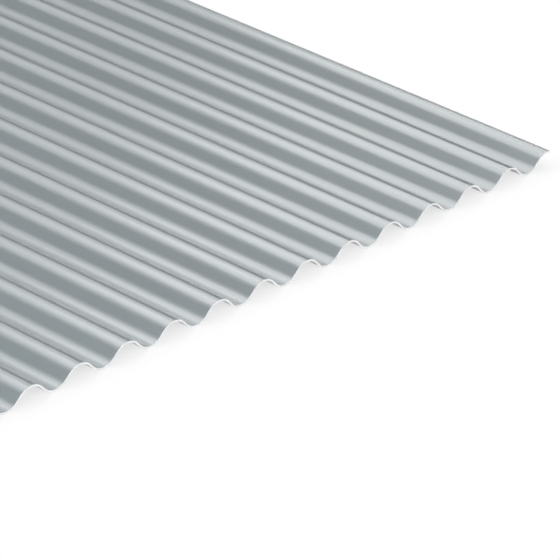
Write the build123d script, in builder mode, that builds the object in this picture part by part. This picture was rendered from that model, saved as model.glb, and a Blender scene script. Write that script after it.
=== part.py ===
from build123d import *
import math
import os

# A corrugated roofing and cladding sheet of rigid PVC, extruded as one piece and cut to length.
# Millimetres. X runs across the waves, Y along them and Z up, and the sheet lies on Z = 0.

# Section
PITCH = 32.0  # from crest to crest
DEPTH = 9.0  # overall, from the underside of a trough to the top of a crest
WALL = 1.0  # thickness of the skin
FLANK = 3.8  # length of the straight stretch between a trough's bend and a crest's bend

# Sheet
WIDTH = 900.0  # from one slit long edge to the other
LENGTH = 2000.0  # from one sawn end to the other

# The skin's mid-line lies half a wall inside both faces. A quarter wave of it is half a bend and
# half a flank, and these two cover a quarter of the pitch and half of the mid-line's depth.
QUARTER_RUN = PITCH / 4
QUARTER_RISE = (DEPTH - WALL) / 2
HALF_FLANK = FLANK / 2
FLANK_SLOPE = 2 * math.atan(QUARTER_RISE / (QUARTER_RUN + HALF_FLANK))
BEND_RADIUS = (QUARTER_RUN - HALF_FLANK * math.cos(FLANK_SLOPE)) / math.sin(FLANK_SLOPE)
BEND_ANGLE = 2 * math.degrees(FLANK_SLOPE)

# The middle of the sheet is a crest. The waves are drawn past both long edges, then slit to width.
CRESTS_EACH_SIDE = math.ceil(WIDTH / 2 / PITCH)
FIRST_TROUGH = -(CRESTS_EACH_SIDE + 0.5) * PITCH
FIRST_POINT = (
    FIRST_TROUGH - BEND_RADIUS * math.sin(FLANK_SLOPE),
    WALL / 2 + BEND_RADIUS * (1 - math.cos(FLANK_SLOPE)),
)
FIRST_DIRECTION = (math.cos(FLANK_SLOPE), -math.sin(FLANK_SLOPE))


with BuildPart() as corrugated_sheet:
    with BuildSketch(Plane.XZ) as section:
        with BuildLine() as mid_line:
            point = FIRST_POINT
            direction = FIRST_DIRECTION
            for wave in range(2 * CRESTS_EACH_SIDE + 1):
                trough = JernArc(point, direction, BEND_RADIUS, BEND_ANGLE)
                rise = PolarLine(trough @ 1, FLANK, direction=trough % 1)
                crest = JernArc(rise @ 1, rise % 1, BEND_RADIUS, -BEND_ANGLE)
                fall = PolarLine(crest @ 1, FLANK, direction=crest % 1)
                point = fall @ 1
                direction = fall % 1
            offset(amount=WALL / 2)
        make_face()
        with Locations((0, DEPTH / 2)):
            Rectangle(WIDTH, 2 * DEPTH, mode=Mode.INTERSECT)
    extrude(amount=LENGTH / 2, both=True)

corrugated_sheet.part.label = "corrugated_sheet"
os.makedirs("parts", exist_ok=True)
export_step(corrugated_sheet.part, "parts/corrugated_sheet.step")
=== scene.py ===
import math
import random

import bpy
from mathutils import Euler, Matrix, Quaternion, Vector


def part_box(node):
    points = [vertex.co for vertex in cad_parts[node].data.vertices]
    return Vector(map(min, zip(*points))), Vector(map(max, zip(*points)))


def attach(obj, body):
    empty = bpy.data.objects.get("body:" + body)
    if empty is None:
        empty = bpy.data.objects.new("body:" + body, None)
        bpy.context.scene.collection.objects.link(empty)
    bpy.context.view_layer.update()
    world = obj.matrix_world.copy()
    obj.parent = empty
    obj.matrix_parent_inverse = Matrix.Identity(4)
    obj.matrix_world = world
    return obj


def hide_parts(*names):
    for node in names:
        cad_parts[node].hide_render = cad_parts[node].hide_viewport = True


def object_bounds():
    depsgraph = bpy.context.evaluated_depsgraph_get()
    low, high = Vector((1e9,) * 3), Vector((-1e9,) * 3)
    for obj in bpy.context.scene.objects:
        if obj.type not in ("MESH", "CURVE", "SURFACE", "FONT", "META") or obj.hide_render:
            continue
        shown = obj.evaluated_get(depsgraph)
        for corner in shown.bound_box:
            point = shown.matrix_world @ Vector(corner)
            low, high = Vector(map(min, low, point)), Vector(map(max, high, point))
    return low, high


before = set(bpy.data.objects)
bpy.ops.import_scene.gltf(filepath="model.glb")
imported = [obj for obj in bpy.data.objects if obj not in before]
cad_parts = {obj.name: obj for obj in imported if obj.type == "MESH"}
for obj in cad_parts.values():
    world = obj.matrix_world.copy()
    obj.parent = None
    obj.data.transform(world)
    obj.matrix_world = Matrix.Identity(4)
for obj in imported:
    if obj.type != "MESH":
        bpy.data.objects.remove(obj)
CAD_LOW, CAD_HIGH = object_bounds()
SHEET_LOW, SHEET_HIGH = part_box("corrugated_sheet")

# A corrugated sheet of rigid grey PVC, lying on a pale floor. Metres: X runs across the waves,
# Y along them and Z up. The overall sizes come from the frame.

# Section of the sheet
PITCH = 0.032  # from crest to crest, with a crest in the middle of the sheet
WALL = 0.001  # thickness of the skin
FLANK = 0.0038  # straight stretch between a trough's bend and a crest's bend
DEPTH = SHEET_HIGH[2] - SHEET_LOW[2]
QUARTER_RUN = PITCH / 4
QUARTER_RISE = (DEPTH - WALL) / 2
FLANK_SLOPE = 2 * math.atan(QUARTER_RISE / (QUARTER_RUN + FLANK / 2))
BEND_RADIUS = (QUARTER_RUN - FLANK / 2 * math.cos(FLANK_SLOPE)) / math.sin(FLANK_SLOPE)
BEND_RUN = BEND_RADIUS * math.sin(FLANK_SLOPE)
BEND_RISE = BEND_RADIUS * (1 - math.cos(FLANK_SLOPE))
MID_HEIGHT = (SHEET_HIGH[2] + SHEET_LOW[2]) / 2

# Fineness of the mesh
BEND_STEPS = 6  # from the middle of a bend to its end
ROW_LENGTH = 0.05  # between two rows of points along the waves
STATION_GAP = 0.0002  # stations nearer to a long edge than this give way to it

# Cut edges
EDGE_BREAK = 0.00008  # small flat along each corner of a sawn end
SAW_DEPTH = 0.00008  # how unevenly the saw left the ends
CHIP_DEPTH = 0.0004  # how deep a chip at the end goes
CHIP_SHARE = 0.03  # share of the stations with a chip
SAW_SEED = 7
EDGE_HIGHLIGHT_WIDTH = 0.0022  # width of the strip along each long edge that is painted paler, as a painted highlight
EDGE_HIGHLIGHT_PEAK_WIDTH = 0.0005  # width of the palest part of that painted highlight

# Materials. A noise's scale is in changes per metre along X, Y and Z.
NOISE_LOW = 0.3  # noise is stretched over the middle of its range, from here
NOISE_HIGH = 0.7  # to here
SKIN_DARK = (0.336, 0.379, 0.393)
SKIN_PALE = (0.354, 0.399, 0.414)
SKIN_ROUGHNESS = (0.135, 0.155)
SKIN_IOR = 1.53
SHADE_SCALE = (9.0, 3.0, 9.0)
SWELL_SCALE = (28.0, 5.0, 28.0)
SWELL_DEPTH = 0.00012
DIE_LINE_SCALE = (420.0, 1.3, 420.0)
DIE_LINE_DEPTH = 0.0000007
# colour of the painted highlight along each long edge
PAINTED_EDGE_HIGHLIGHT_COLOUR = (0.8, 0.82, 0.83)
CUT_DARK = (0.84, 0.85, 0.86)
CUT_PALE = (0.92, 0.925, 0.93)
CUT_ROUGHNESS = (0.5, 0.7)
CUT_MARK_SCALE = (1400.0, 1400.0, 160.0)
CUT_MARK_DEPTH = 0.00003
FLOOR_COLOUR = (0.9, 0.9, 0.9)

# Camera, fitted to the wavy end and the long edge
AIM = Vector((0.2364, -0.9996, 0.0045))
DISTANCE = 1.8539
AZIMUTH = math.radians(-49.69)
ELEVATION = math.radians(27.19)
ROLL = math.radians(3.80)
SENSOR = 36.0  # millimetres
FOCAL_LENGTH = 241.65  # millimetres
NEAREST_SEEN = 0.05

# Light. A lamp leans from overhead towards +X and tips towards +Y, in degrees, seen from the spot
# that it lights. Levels are in times the brightness of white.
ROOM_LEVEL = 0.03
NEAR_SPOT = Vector((0.2, -0.9, 0.0))
MIDDLE_SPOT = Vector((0.2, 0.0, 0.0))
FAR_SPOT = Vector((-0.2, 0.9, 0.0))
OVERHEAD_DISTANCE = 5.5
# The overhead softbox is made of panels that overlap, so that it fades to its sides: the left and right
# edge of each in degrees of lean, and its level. They are in three rows: the lower and upper edge of each
# in degrees of tip, and its share of the level.
OVERHEAD_PANELS = ((-26, 61, 2.35), (-18, 57, 2.05), (-8, 33, 2.0))
OVERHEAD_ROWS = ((27, 38, 1.0), (38, 45, 0.5), (45, 58, 0.2))

# Floor
FLOOR_SIZE = 120.0
FLOOR_GAP = 0.00005
BACKDROP_HEIGHT = 6.0  # of the low wall round the floor, behind the horizon
FLOOR_GLOW = 0.64  # share of the floor beside the sheet that glows white, so that its shadow stays pale
GLOW_START = -0.015  # from the sheet's outline to where the glow begins to grow, under the sheet
GLOW_FULL = 0.015  # from the sheet's outline to where all of the floor glows


def direction(azimuth, elevation):
    """Unit vector towards a place seen from the sheet. Azimuth 0 is towards -Y and 90 towards +X."""
    return Vector((
        math.sin(azimuth) * math.cos(elevation),
        -math.cos(azimuth) * math.cos(elevation),
        math.sin(elevation),
    ))


def mid_line_at(x):
    """Height and slope of the middle of the skin at x."""
    signed = (x + PITCH / 2) % PITCH - PITCH / 2
    from_crest = abs(signed)
    in_trough = from_crest > QUARTER_RUN
    run = PITCH / 2 - from_crest if in_trough else from_crest
    if run < BEND_RUN:
        slope = math.asin(run / BEND_RADIUS)
        drop = BEND_RADIUS * (1 - math.cos(slope))
    else:
        slope = FLANK_SLOPE
        drop = BEND_RISE + (run - BEND_RUN) * math.tan(FLANK_SLOPE)
    offset = QUARTER_RISE - drop
    height = MID_HEIGHT - offset if in_trough else MID_HEIGHT + offset
    return height, -math.copysign(slope, signed)


def stations():
    """Places across the sheet where its section has a point, from one long edge to the other."""
    left, right = SHEET_LOW[0], SHEET_HIGH[0]
    first = math.floor(left / (PITCH / 2))
    last = math.ceil(right / (PITCH / 2))
    found = []
    for turn in range(first, last + 1):
        for step in range(-BEND_STEPS, BEND_STEPS + 1):
            x = turn * PITCH / 2 + BEND_RADIUS * math.sin(FLANK_SLOPE * step / BEND_STEPS)
            if left + STATION_GAP < x < right - STATION_GAP:
                found.append(x)
    return [left, *found, right]


def section_outline(inset):
    """Upper and lower points of the section, moved inwards by inset from every face."""
    upper = []
    lower = []
    places = stations()
    for index, x in enumerate(places):
        height, slope = mid_line_at(x)
        half = WALL / 2 - inset
        if index in (0, len(places) - 1):
            inner = x + inset if index == 0 else x - inset
            reach = half / math.cos(slope)
            upper.append((inner, height + reach))
            lower.append((inner, height - reach))
        else:
            across, up = -math.sin(slope) * half, math.cos(slope) * half
            upper.append((x + across, height + up))
            lower.append((x - across, height - up))
    return upper, lower


def saw_marks(count, chance):
    """How far the saw left each station short of the end."""
    marks = []
    for _ in range(count):
        mark = chance.uniform(0, SAW_DEPTH)
        if chance.random() < CHIP_SHARE:
            mark += chance.uniform(0, CHIP_DEPTH)
        marks.append(mark)
    return marks


def sheet_mesh():
    """The sheet as one closed mesh. Material 0 is the skin and material 1 the cut faces."""
    chance = random.Random(SAW_SEED)
    near, far = SHEET_LOW[1], SHEET_HIGH[1]
    full = section_outline(0)
    shrunk = section_outline(EDGE_BREAK)
    count = len(full[0])
    near_marks = saw_marks(count, chance)
    far_marks = saw_marks(count, chance)
    inner_rows = round((far - near) / ROW_LENGTH)
    points = []

    def add_row(outline, places):
        """One row of points: the upper face from left to right, then the lower face."""
        for side in outline:
            for (x, z), y in zip(side, places):
                points.append((x, y, z))

    add_row(shrunk, [near + mark for mark in near_marks])
    add_row(full, [near + mark + EDGE_BREAK for mark in near_marks])
    for row in range(1, inner_rows):
        add_row(full, [near + (far - near) * row / inner_rows] * count)
    add_row(full, [far - mark - EDGE_BREAK for mark in far_marks])
    add_row(shrunk, [far - mark for mark in far_marks])

    rows = inner_rows + 3
    stride = 2 * count
    faces = []
    kinds = []

    def add_face(kind, *corners):
        faces.append(corners)
        kinds.append(kind)

    for row in range(rows - 1):
        here = row * stride
        after = here + stride
        cut = row in (0, rows - 2)
        for i in range(count - 1):
            low = count + i
            add_face(int(cut), here + i, here + i + 1, after + i + 1, after + i)
            add_face(int(cut), here + low + 1, here + low, after + low, after + low + 1)
        add_face(1, here + count, here, after, after + count)
        add_face(1, here + count - 1, here + stride - 1, after + stride - 1, after + count - 1)
    end = (rows - 1) * stride
    for i in range(count - 1):
        low = count + i
        add_face(1, low, low + 1, i + 1, i)
        add_face(1, end + i, end + i + 1, end + low + 1, end + low)

    mesh = bpy.data.meshes.new("corrugated_sheet_skin")
    mesh.from_pydata(points, [], faces)
    skin_edges = set()
    cut_edges = set()
    for polygon, kind in zip(mesh.polygons, kinds):
        polygon.material_index = kind
        polygon.use_smooth = kind == 0
        (cut_edges if kind else skin_edges).update(polygon.edge_keys)
    for edge in mesh.edges:
        edge.use_edge_sharp = edge.key in skin_edges and edge.key in cut_edges
    mesh.validate()
    mesh.update()
    return mesh


def new_material(name):
    """A material with one Principled shader, its node tree and the shader."""
    material = bpy.data.materials.new(name)
    material.use_nodes = True
    tree = material.node_tree
    return material, tree, tree.nodes["Principled BSDF"]


def stretched_noise(tree, scale, detail):
    """Noise in metres, with a scale of its own along each axis."""
    place = tree.nodes.new("ShaderNodeTexCoord")
    mapping = tree.nodes.new("ShaderNodeMapping")
    mapping.inputs["Scale"].default_value = scale
    noise = tree.nodes.new("ShaderNodeTexNoise")
    noise.inputs["Scale"].default_value = 1.0
    noise.inputs["Detail"].default_value = detail
    tree.links.new(place.outputs["Object"], mapping.inputs["Vector"])
    tree.links.new(mapping.outputs["Vector"], noise.inputs["Vector"])
    return noise.outputs["Fac"]


def place_axes(tree):
    """The X, Y and Z of each point, in metres."""
    place = tree.nodes.new("ShaderNodeTexCoord")
    axes = tree.nodes.new("ShaderNodeSeparateXYZ")
    tree.links.new(place.outputs["Object"], axes.inputs["Vector"])
    return axes.outputs


def calculate(tree, operation, first, second=None):
    """The result of one step of arithmetic on shader values or plain numbers."""
    step = tree.nodes.new("ShaderNodeMath")
    step.operation = operation
    for socket, value in zip(step.inputs, (first, second)):
        if isinstance(value, bpy.types.NodeSocket):
            tree.links.new(value, socket)
        elif value is not None:
            socket.default_value = value
    return step.outputs["Value"]


def ramp_over(tree, value, start, full, low=0.0, high=1.0, kind="LINEAR"):
    """A number that goes from low to high, as value goes from start to full."""
    limits = tree.nodes.new("ShaderNodeMapRange")
    limits.interpolation_type = kind
    limits.inputs["From Min"].default_value = start
    limits.inputs["From Max"].default_value = full
    limits.inputs["To Min"].default_value = low
    limits.inputs["To Max"].default_value = high
    tree.links.new(value, limits.inputs["Value"])
    return limits.outputs["Result"]


def colour_between(tree, noise, dark, pale):
    """A colour from dark to pale, as the noise goes over the middle of its range."""
    ramp = tree.nodes.new("ShaderNodeValToRGB")
    ramp.color_ramp.elements[0].position = NOISE_LOW
    ramp.color_ramp.elements[0].color = (*dark, 1)
    ramp.color_ramp.elements[1].position = NOISE_HIGH
    ramp.color_ramp.elements[1].color = (*pale, 1)
    tree.links.new(noise, ramp.inputs["Fac"])
    return ramp.outputs["Color"]


def bump_over(tree, height, depth, below=None):
    """A bump that is depth metres deep, on top of the one below."""
    bump = tree.nodes.new("ShaderNodeBump")
    bump.inputs["Strength"].default_value = 1.0
    bump.inputs["Distance"].default_value = depth
    tree.links.new(height, bump.inputs["Height"])
    if below is not None:
        tree.links.new(below, bump.inputs["Normal"])
    return bump.outputs["Normal"]


def with_painted_edge_highlight(tree, shade):
    """The shade, turning to a paler painted highlight over the narrow strip along each long edge."""
    across = calculate(tree, "ABSOLUTE", place_axes(tree)["X"])
    painted_highlight_strip = ramp_over(tree, across, SHEET_HIGH[0] - EDGE_HIGHLIGHT_WIDTH, SHEET_HIGH[0] - EDGE_HIGHLIGHT_PEAK_WIDTH)
    mix = tree.nodes.new("ShaderNodeMix")
    mix.data_type = "RGBA"
    mix.inputs["B"].default_value = (*PAINTED_EDGE_HIGHLIGHT_COLOUR, 1)
    tree.links.new(painted_highlight_strip, mix.inputs["Factor"])
    tree.links.new(shade, mix.inputs["A"])
    return mix.outputs["Result"]


def skin_material():
    """Glossy grey PVC: faint die lines along the waves, slow changes of shade and gloss, a painted highlight
    on the long edges.
    """
    material, tree, shader = new_material("grey_pvc_skin")
    slow = stretched_noise(tree, SHADE_SCALE, detail=2.0)
    lines = stretched_noise(tree, DIE_LINE_SCALE, detail=3.0)
    swell = stretched_noise(tree, SWELL_SCALE, detail=1.0)
    shade = with_painted_edge_highlight(tree, colour_between(tree, slow, SKIN_DARK, SKIN_PALE))
    roughness = ramp_over(tree, lines, NOISE_LOW, NOISE_HIGH, *SKIN_ROUGHNESS)
    waves = bump_over(tree, swell, SWELL_DEPTH)
    tree.links.new(shade, shader.inputs["Base Color"])
    tree.links.new(roughness, shader.inputs["Roughness"])
    tree.links.new(bump_over(tree, lines, DIE_LINE_DEPTH, waves), shader.inputs["Normal"])
    shader.inputs["IOR"].default_value = SKIN_IOR
    return material


def cut_material():
    """Sawn PVC, whitened by the blade, with fine marks across the wall."""
    material, tree, shader = new_material("sawn_pvc")
    marks = stretched_noise(tree, CUT_MARK_SCALE, detail=3.0)
    shade = colour_between(tree, marks, CUT_DARK, CUT_PALE)
    roughness = ramp_over(tree, marks, NOISE_LOW, NOISE_HIGH, *CUT_ROUGHNESS)
    tree.links.new(shade, shader.inputs["Base Color"])
    tree.links.new(roughness, shader.inputs["Roughness"])
    tree.links.new(bump_over(tree, marks, CUT_MARK_DEPTH), shader.inputs["Normal"])
    return material


def make_sheet():
    """The sheet, in place of its node."""
    mesh = sheet_mesh()
    mesh.materials.append(skin_material())
    mesh.materials.append(cut_material())
    sheet = bpy.data.objects.new("corrugated_sheet_skin", mesh)
    bpy.context.collection.objects.link(sheet)
    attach(sheet, "root")
    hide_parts("corrugated_sheet")


def glow_share(tree):
    """Share of the floor that glows: a part beside the sheet, which keeps its shadow, and all farther off."""
    axes = place_axes(tree)
    beside = calculate(tree, "SUBTRACT", calculate(tree, "ABSOLUTE", axes["X"]), SHEET_HIGH[0])
    beyond = calculate(tree, "SUBTRACT", calculate(tree, "ABSOLUTE", axes["Y"]), SHEET_HIGH[1])
    from_sheet = calculate(tree, "MAXIMUM", beside, beyond)
    return ramp_over(tree, from_sheet, GLOW_START, GLOW_FULL, low=FLOOR_GLOW, kind="SMOOTHSTEP")


def floor_material():
    """White paper that keeps a pale shadow. It glows for the camera and for reflections only."""
    material, tree, shader = new_material("white_floor")
    output = tree.nodes["Material Output"]
    shader.inputs["Base Color"].default_value = (*FLOOR_COLOUR, 1)
    shader.inputs["Roughness"].default_value = 1.0
    shader.inputs["Specular IOR Level"].default_value = 0.0
    glow = tree.nodes.new("ShaderNodeEmission")
    rays = tree.nodes.new("ShaderNodeLightPath").outputs
    seen = calculate(tree, "MAXIMUM", rays["Is Camera Ray"], rays["Is Glossy Ray"])
    seen = calculate(tree, "MAXIMUM", seen, rays["Is Transmission Ray"])
    mix = tree.nodes.new("ShaderNodeMixShader")
    tree.links.new(calculate(tree, "MULTIPLY", seen, glow_share(tree)), mix.inputs["Fac"])
    tree.links.new(shader.outputs["BSDF"], mix.inputs[1])
    tree.links.new(glow.outputs["Emission"], mix.inputs[2])
    tree.links.new(mix.outputs["Shader"], output.inputs["Surface"])
    return material


def make_floor():
    """A wide plain floor under the sheet, with a low wall round it that stands for a backdrop."""
    half = FLOOR_SIZE / 2
    z = CAD_LOW[2] - FLOOR_GAP
    mesh = bpy.data.meshes.new("floor")
    corners = [(-half, -half), (half, -half), (half, half), (-half, half)]
    points = [(x, y, height) for height in (z, BACKDROP_HEIGHT) for x, y in corners]
    walls = [(side, side + 4, (side + 1) % 4 + 4, (side + 1) % 4) for side in range(4)]
    mesh.from_pydata(points, [], [(0, 1, 2, 3), *walls])
    mesh.materials.append(floor_material())
    floor = bpy.data.objects.new("floor", mesh)
    bpy.context.collection.objects.link(floor)


def make_softbox(name, spot, lean, tip, distance, width, height, level):
    """A rectangular lamp that faces a spot. Its surface is level times as bright as white."""
    lamp = bpy.data.lights.new(name, "AREA")
    lamp.shape = "RECTANGLE"
    lamp.size = width
    lamp.size_y = height
    lamp.energy = math.pi * level * width * height
    turn = Euler((-math.radians(tip), math.radians(lean), 0))
    holder = bpy.data.objects.new(name, lamp)
    holder.rotation_euler = turn
    holder.location = spot + turn.to_matrix() @ Vector((0, 0, distance))
    bpy.context.collection.objects.link(holder)


def span(low, high, distance):
    """Size of a lamp that is seen between two angles in degrees, from a distance."""
    return 2 * distance * math.tan(math.radians((high - low) / 2))


def make_overhead():
    """A wide softbox overhead that fades to its sides and to the back."""
    for low, high, share in OVERHEAD_ROWS:
        tip = (low + high) / 2
        height = span(low, high, OVERHEAD_DISTANCE)
        for left, right, level in OVERHEAD_PANELS:
            lean = (left + right) / 2
            width = span(left, right, OVERHEAD_DISTANCE * math.cos(math.radians(tip)))
            make_softbox("overhead", NEAR_SPOT, lean, tip, OVERHEAD_DISTANCE, width, height, share * level)


def make_fills():
    """Two fills on the left, along the whole sheet and by its near end, and a low wide one at each end."""
    make_softbox("left_fill", MIDDLE_SPOT, lean=-60, tip=0, distance=1.0, width=0.5, height=2.8, level=0.4)
    make_softbox("near_fill", NEAR_SPOT, lean=-56, tip=-8, distance=1.0, width=0.6, height=0.8, level=1.75)
    make_softbox("front_fill", NEAR_SPOT, lean=-14, tip=-72, distance=2.0, width=4.0, height=1.1, level=2.8)
    make_softbox("back_fill", FAR_SPOT, lean=14, tip=72, distance=2.0, width=4.0, height=1.1, level=1.4)


def make_room():
    """An even faint light from all round."""
    world = bpy.data.worlds.new("studio")
    world.use_nodes = True
    background = world.node_tree.nodes["Background"]
    background.inputs["Color"].default_value = (1, 1, 1, 1)
    background.inputs["Strength"].default_value = ROOM_LEVEL
    bpy.context.scene.world = world


def make_camera():
    """The camera at the photograph's viewing angle."""
    camera = bpy.data.cameras.new("camera")
    camera.sensor_width = SENSOR
    camera.lens = FOCAL_LENGTH
    camera.clip_start = NEAREST_SEEN
    camera.clip_end = 2 * FLOOR_SIZE
    back = direction(AZIMUTH, ELEVATION)
    holder = bpy.data.objects.new("camera", camera)
    holder.location = AIM + DISTANCE * back
    holder.rotation_mode = "QUATERNION"
    level = (-back).to_track_quat("-Z", "Y")
    holder.rotation_quaternion = level @ Quaternion((0, 0, 1), ROLL)
    bpy.context.collection.objects.link(holder)
    bpy.context.scene.camera = holder


make_camera()
make_sheet()
make_floor()
make_room()
make_overhead()
make_fills()
bpy.context.scene.view_settings.view_transform = "Standard"
